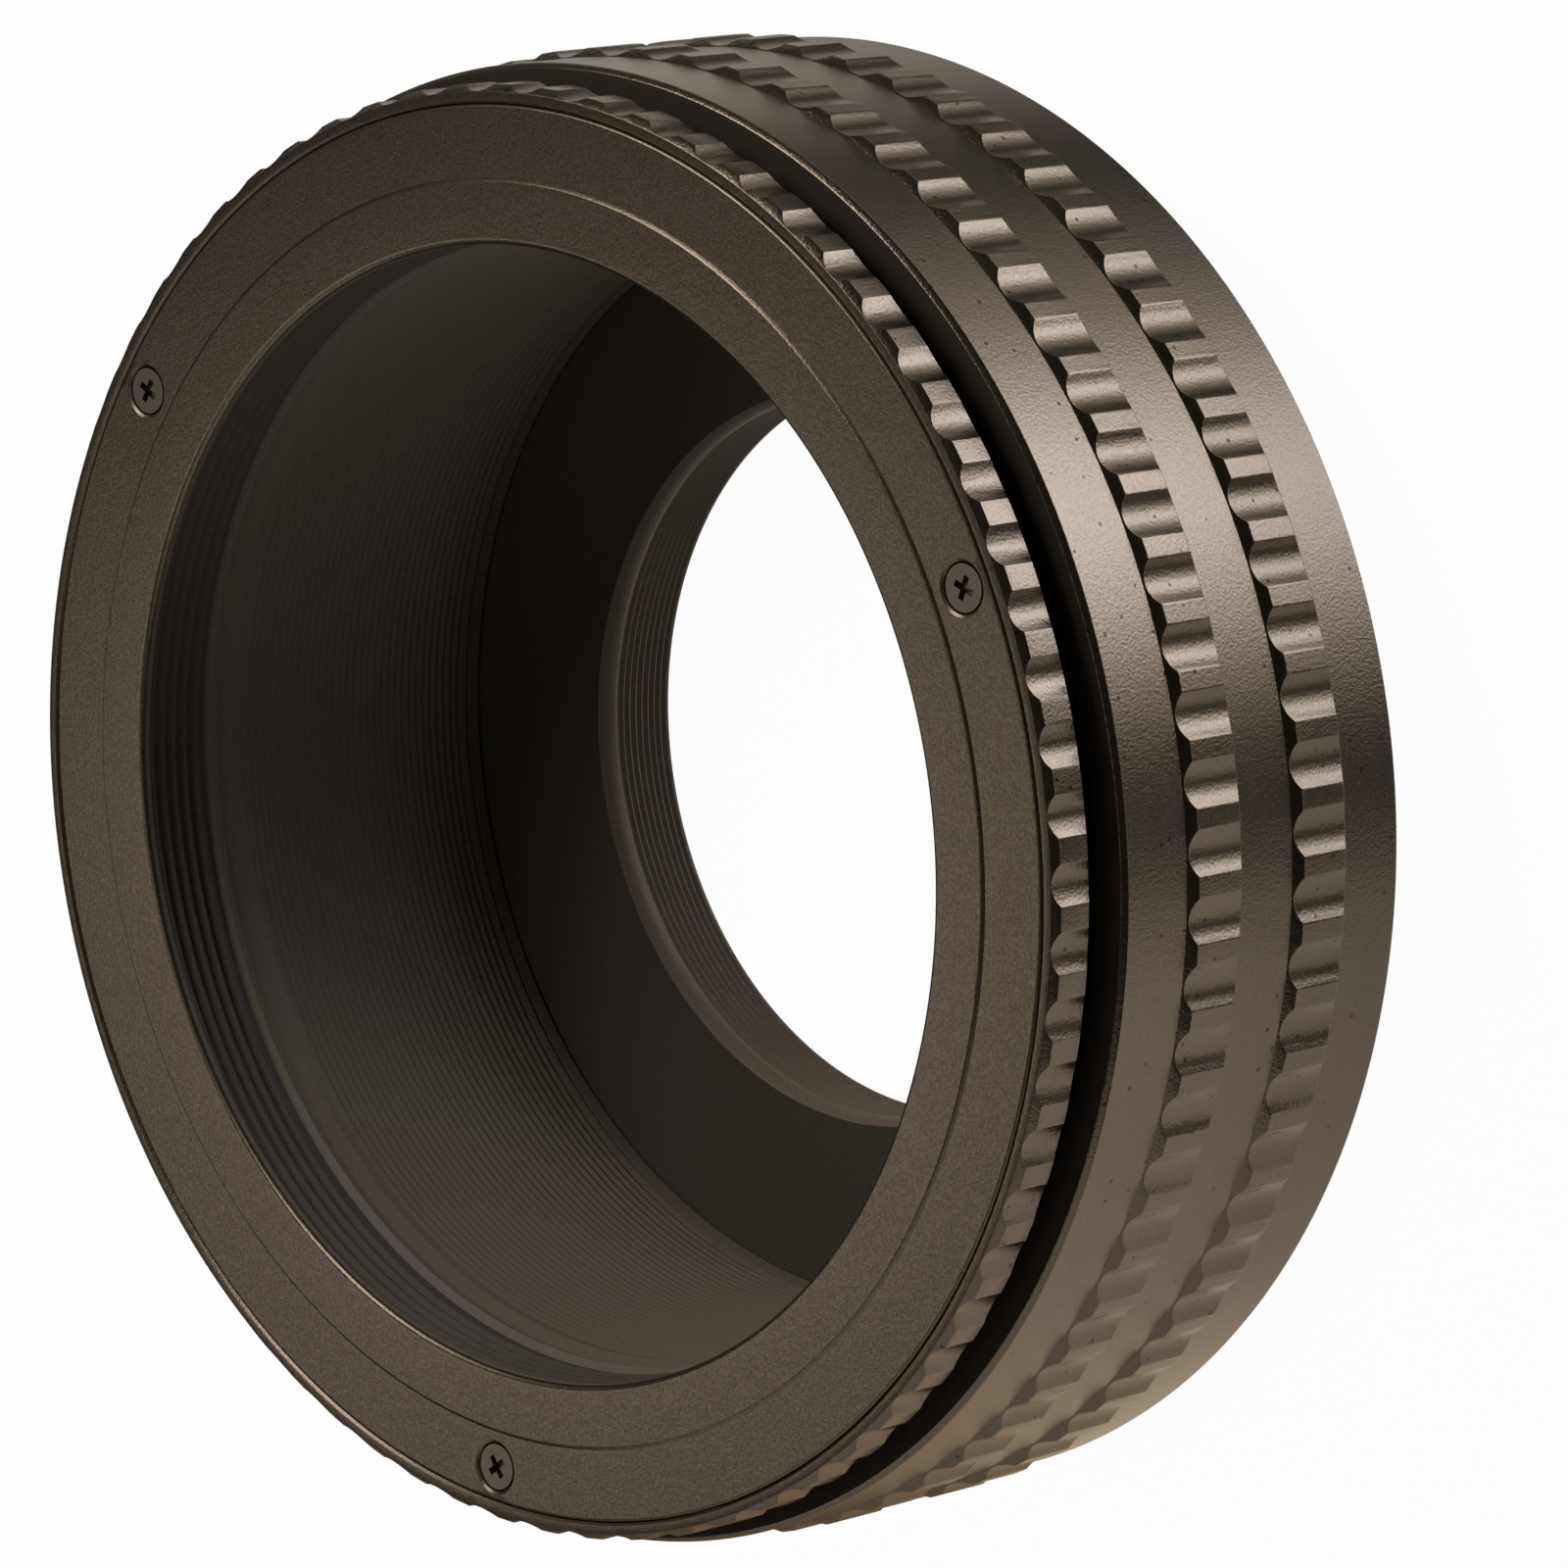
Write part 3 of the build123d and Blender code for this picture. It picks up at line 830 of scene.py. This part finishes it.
# %% [markdown]
# ## The table and the light below it
# A white table that still takes a trace of shadow. The upright walls of the ring mirror what lies below the
# horizon, so this is a glass table, as photographers use for metal: the mirror images look through it at a
# wide white sheet further down, and what stands in front of that sheet draws the bright and dark bands on
# the ring.

# %% Table and sheet
def plane(name, half, height, across=(0, 0)):
    """A square sheet, not part of the object, in millimetres."""
    bm = bmesh.new()
    bmesh.ops.create_grid(bm, x_segments=1, y_segments=1, size=half * MM)
    bmesh.ops.translate(bm, vec=Vector((*across, height)) * MM, verts=bm.verts)
    obj = made(name, bm)
    obj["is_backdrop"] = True
    return obj


def only_in_mirrors(obj):
    """Hides a card from the camera and from all light but mirror images."""
    obj.visible_camera = False
    obj.visible_diffuse = False
    obj.visible_shadow = False


white_table, tree, shader = start("white_table")
shader.inputs["Base Color"].default_value = colour("#F2F2F2")
shader.inputs["Roughness"].default_value = 0.8
rays = add(tree, "ShaderNodeLightPath")
toward_white = {"operation": "MULTIPLY", 1: 0.97}
share = add(tree, "ShaderNodeMath", toward_white, input0=rays.outputs["Is Camera Ray"])
white = add(tree, "ShaderNodeEmission", {"Color": (1, 1, 1, 1), "Strength": 1.0})
both = add(
    tree,
    "ShaderNodeMixShader",
    input0=share.outputs[0],
    input1=shader.outputs["BSDF"],
    input2=white.outputs["Emission"],
)
output = next(n for n in tree.nodes if n.type == "OUTPUT_MATERIAL")
tree.links.new(both.outputs[0], output.inputs["Surface"])

white_sheet, _, shader = start("white_sheet")
shader.inputs["Base Color"].default_value = (0, 0, 0, 1)
shader.inputs["Specular IOR Level"].default_value = 0.0
shader.inputs["Emission Color"].default_value = (1, 1, 1, 1)
shader.inputs["Emission Strength"].default_value = 1.0
white_sheet.cycles.emission_sampling = "NONE"

DEEP = -400                  # height of the lamps and flags below the table
table = plane("table", 1500, 0)
table.visible_glossy = False
dress(table, white_table)
sheet = plane("sheet", 4000, DEEP - 2)
only_in_mirrors(sheet)
dress(sheet, white_sheet)


# %% [markdown]
# ## Lamps and flags below the table
# The camera sees the wall of the ring at one angle mirror one line on the ground. A lamp or a flag is a fan
# of such lines, so its place can be given as the part of the ring where it shows. Its light changes softly
# from stop to stop.

# %% Fans of light
CAMERA_AZIMUTH = -12.1
WHITE = (1, 1, 1)


def lights_at(stops, degrees):
    """The near and the far light at an angle between two stops."""
    for (first, *lights), (last, *next_lights) in zip(stops, stops[1:]):
        if degrees <= last + 1e-6:
            share = (degrees - first) / (last - first)
            return [Vector(a).lerp(Vector(b), share) for a, b in zip(lights, next_lights)]


def fan(name, stops, reaches, height, finish):
    """A fan of lines, with stops of (ring angle, light at the near end, light at the far end).

    Each reach is a distance along the lines in millimetres and its place between those two ends."""
    first, last = stops[0][0], stops[-1][0]
    columns = len(reaches) - 1
    bm = bmesh.new()
    shades = bm.verts.layers.float_color.new("glow")
    bmesh.ops.create_grid(bm, x_segments=columns, y_segments=round(last - first), size=1)
    for v in bm.verts:
        reach, place = reaches[round((v.co.x + 1) / 2 * columns)]
        degrees = first + (v.co.y + 1) / 2 * (last - first)
        near, far = lights_at(stops, degrees)
        angle = math.radians(degrees)
        away = 2 * angle - math.radians(CAMERA_AZIMUTH)
        foot = Vector((math.cos(angle) * ring_r, math.sin(angle) * ring_r, height))
        v.co = (foot + Vector((math.cos(away), math.sin(away), 0)) * reach) * MM
        v[shades] = (*near.lerp(far, place), 1.0)
    obj = made(name, bm)
    dress(obj, finish)
    obj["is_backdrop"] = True
    only_in_mirrors(obj)
    return obj


def even(*stops):
    """Stops with the same light at both ends."""
    return [(angle, light, light) for angle, light in stops]


# %% [markdown]
# ## What the fans are made of
# The deep fans glow by themselves, with the colour that is painted on their vertices. The scrim on the
# table is gauze: it only dims what is mirrored through it, so its colour goes into a transparent shader.

# %% Fan finishes
glowing_fan, tree, shader = start("glowing_fan")
shader.inputs["Base Color"].default_value = (0, 0, 0, 1)
shader.inputs["Specular IOR Level"].default_value = 0.0
shader.inputs["Emission Strength"].default_value = 1.0
painted = add(tree, "ShaderNodeAttribute", {"attribute_name": "glow"})
tree.links.new(painted.outputs["Color"], shader.inputs["Emission Color"])
glowing_fan.cycles.emission_sampling = "NONE"

scrim_gauze, tree, shader = start("scrim_gauze")
painted = add(tree, "ShaderNodeAttribute", {"attribute_name": "glow"})
gauze = add(tree, "ShaderNodeBsdfTransparent", Color=painted.outputs["Color"])
output = next(n for n in tree.nodes if n.type == "OUTPUT_MATERIAL")
tree.links.new(gauze.outputs[0], output.inputs["Surface"])

# %% [markdown]
# ## The fans in place
# From the right of the ring to its top: a black flag, a strong cool light at the side, a second flag and a
# grey card. On the table itself a scrim dims the foot of the ring, and an amber card warms its lower left.
# Behind the ring lies a black card, so that the teeth on the outline mirror something dark and stand clear
# of the white table.

# %% Fans and cards
SIDE = (5.5, 5.9, 6.8)
BLACK = (0, 0, 0)
GREY = (0.72, 0.66, 0.58)
DIM = (0.33, 0.35, 0.35)
GAUZE = (0.71, 0.71, 0.71)
# Distance along the lines, and its place between the near and the far light.
WIDE = ((190, 0), (1100, 0))
GROUND = ((0, 0), (5, 0), (24, 1), (600, 1))
deep_fans = {
    "right_flag": even((-31, WHITE), (-21.8, BLACK), (-17.6, BLACK), (-10.3, WHITE)),
    "side_light": even((-10.3, WHITE), (1, SIDE), (7, SIDE), (18.5, WHITE)),
    "upper_flag": even((22.5, WHITE), (35, BLACK), (38, BLACK), (53, GREY)),
    "upper_card": even((53, GREY), (60, GREY), (68, DIM), (80, DIM), (86, WHITE)),
}
for name, stops in deep_fans.items():
    fan(name, stops, WIDE, DEEP, glowing_fan)
fan("scrim", [(-36, GAUZE, WHITE), (75, GAUZE, WHITE)], GROUND, 0.1, scrim_gauze)
amber = [
    (-115, (0.5, 0.42, 0.3), (0.7, 0.62, 0.5)),
    (-92, (0.85, 0.7, 0.5), (0.05, 0.02, 0.0)),
    (-74, (0.96, 0.81, 0.61), (0.74, 0.56, 0.37)),
    (-62, (0.8, 0.71, 0.61), (0.92, 0.82, 0.7)),
    (-36, GAUZE, WHITE),
]
fan("amber_card", amber, GROUND, 0.2, glowing_fan)

black_card, _, shader = start("black_card")
shader.inputs["Base Color"].default_value = colour("#0C0B0A")
shader.inputs["Roughness"].default_value = 1.0
back_flag = plane("back_flag", 80, 0.3, (-108, 100))
only_in_mirrors(back_flag)
dress(back_flag, black_card)


# %% [markdown]
# ## Lamps above the table
# The front face and the small slopes look upwards. One softbox at the left shades the face, a bright lamp
# high at the side draws the fine lines along the edges, a dim one on the axis lights the bore, and a wide
# low one lifts the chamfers. They are area lamps, because the metal shows the shape of what lights it.

# %% Lamps
AIM = Vector((0, 0, 29))     # on the axis, in the plane of the front face


def panel(name, azimuth, elevation, distance, width, height, radiance):
    """A soft rectangular lamp, placed by its direction from AIM, in degrees and millimetres."""
    lamp = bpy.data.lights.new(name, "AREA")
    lamp.shape = "RECTANGLE"
    lamp.size = width * MM
    lamp.size_y = height * MM
    lamp.energy = radiance * math.pi * lamp.size * lamp.size_y
    obj = bpy.data.objects.new(name, lamp)
    a, e = math.radians(azimuth), math.radians(elevation)
    away = Vector((math.cos(e) * math.cos(a), math.cos(e) * math.sin(a), math.sin(e)))
    obj.location = (AIM + away * distance) * MM
    obj.rotation_mode = "QUATERNION"
    obj.rotation_quaternion = away.to_track_quat("Z", "Y")
    obj.visible_camera = False
    bpy.context.scene.collection.objects.link(obj)
    return obj


panel("left_softbox", 173.4, 44.9, 210, 86, 77, 1.52)
panel("top_lamp", 89, 42, 300, 150, 150, 7.0)
panel("axis_softbox", 0, 88, 500, 200, 200, 1.0)
panel("low_softbox", 250, 26, 600, 1000, 560, 0.6)

world = bpy.data.worlds.new("studio")
world.use_nodes = True
world.node_tree.nodes["Background"].inputs["Color"].default_value = (1, 1, 1, 1)
world.node_tree.nodes["Background"].inputs["Strength"].default_value = 0.03
bpy.context.scene.world = world


# %% [markdown]
# ## The camera
# A long lens from far away keeps the circles close to ellipses. The place and the two directions were
# fitted to the picture's own circles, so the camera is set by a matrix instead of a constraint that would
# aim it.

# %% Camera
CAMERA_AT = Vector((316.64, -67.81, 324.73))
CAMERA_RIGHT = Vector((0.63459, -0.31263, -0.7068))
CAMERA_UP = Vector((0.32304, 0.93815, -0.125))
LENS_MM = 202.5
SENSOR_MM = 36

camera_data = bpy.data.cameras.new("camera")
camera_data.sensor_width = SENSOR_MM
camera_data.lens = LENS_MM
camera = bpy.data.objects.new("camera", camera_data)
back = CAMERA_RIGHT.cross(CAMERA_UP).normalized()
right = CAMERA_UP.cross(back).normalized()
axes = Matrix((right, back.cross(right), back)).transposed()
camera.matrix_world = Matrix.Translation(CAMERA_AT * MM) @ axes.to_4x4()
camera_data.clip_start = 0.01
camera_data.clip_end = 10
bpy.context.scene.collection.objects.link(camera)
bpy.context.scene.camera = camera
bpy.context.scene.view_settings.view_transform = "Standard"


# %% [markdown]
# ## Size
# The dressed part is meant to be as large as the imported model. Its box, without the table and the cards, is
# measured and printed in millimetres.

# %% Size
low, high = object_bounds()
print("size in mm:", [round(side / MM, 2) for side in high - low])
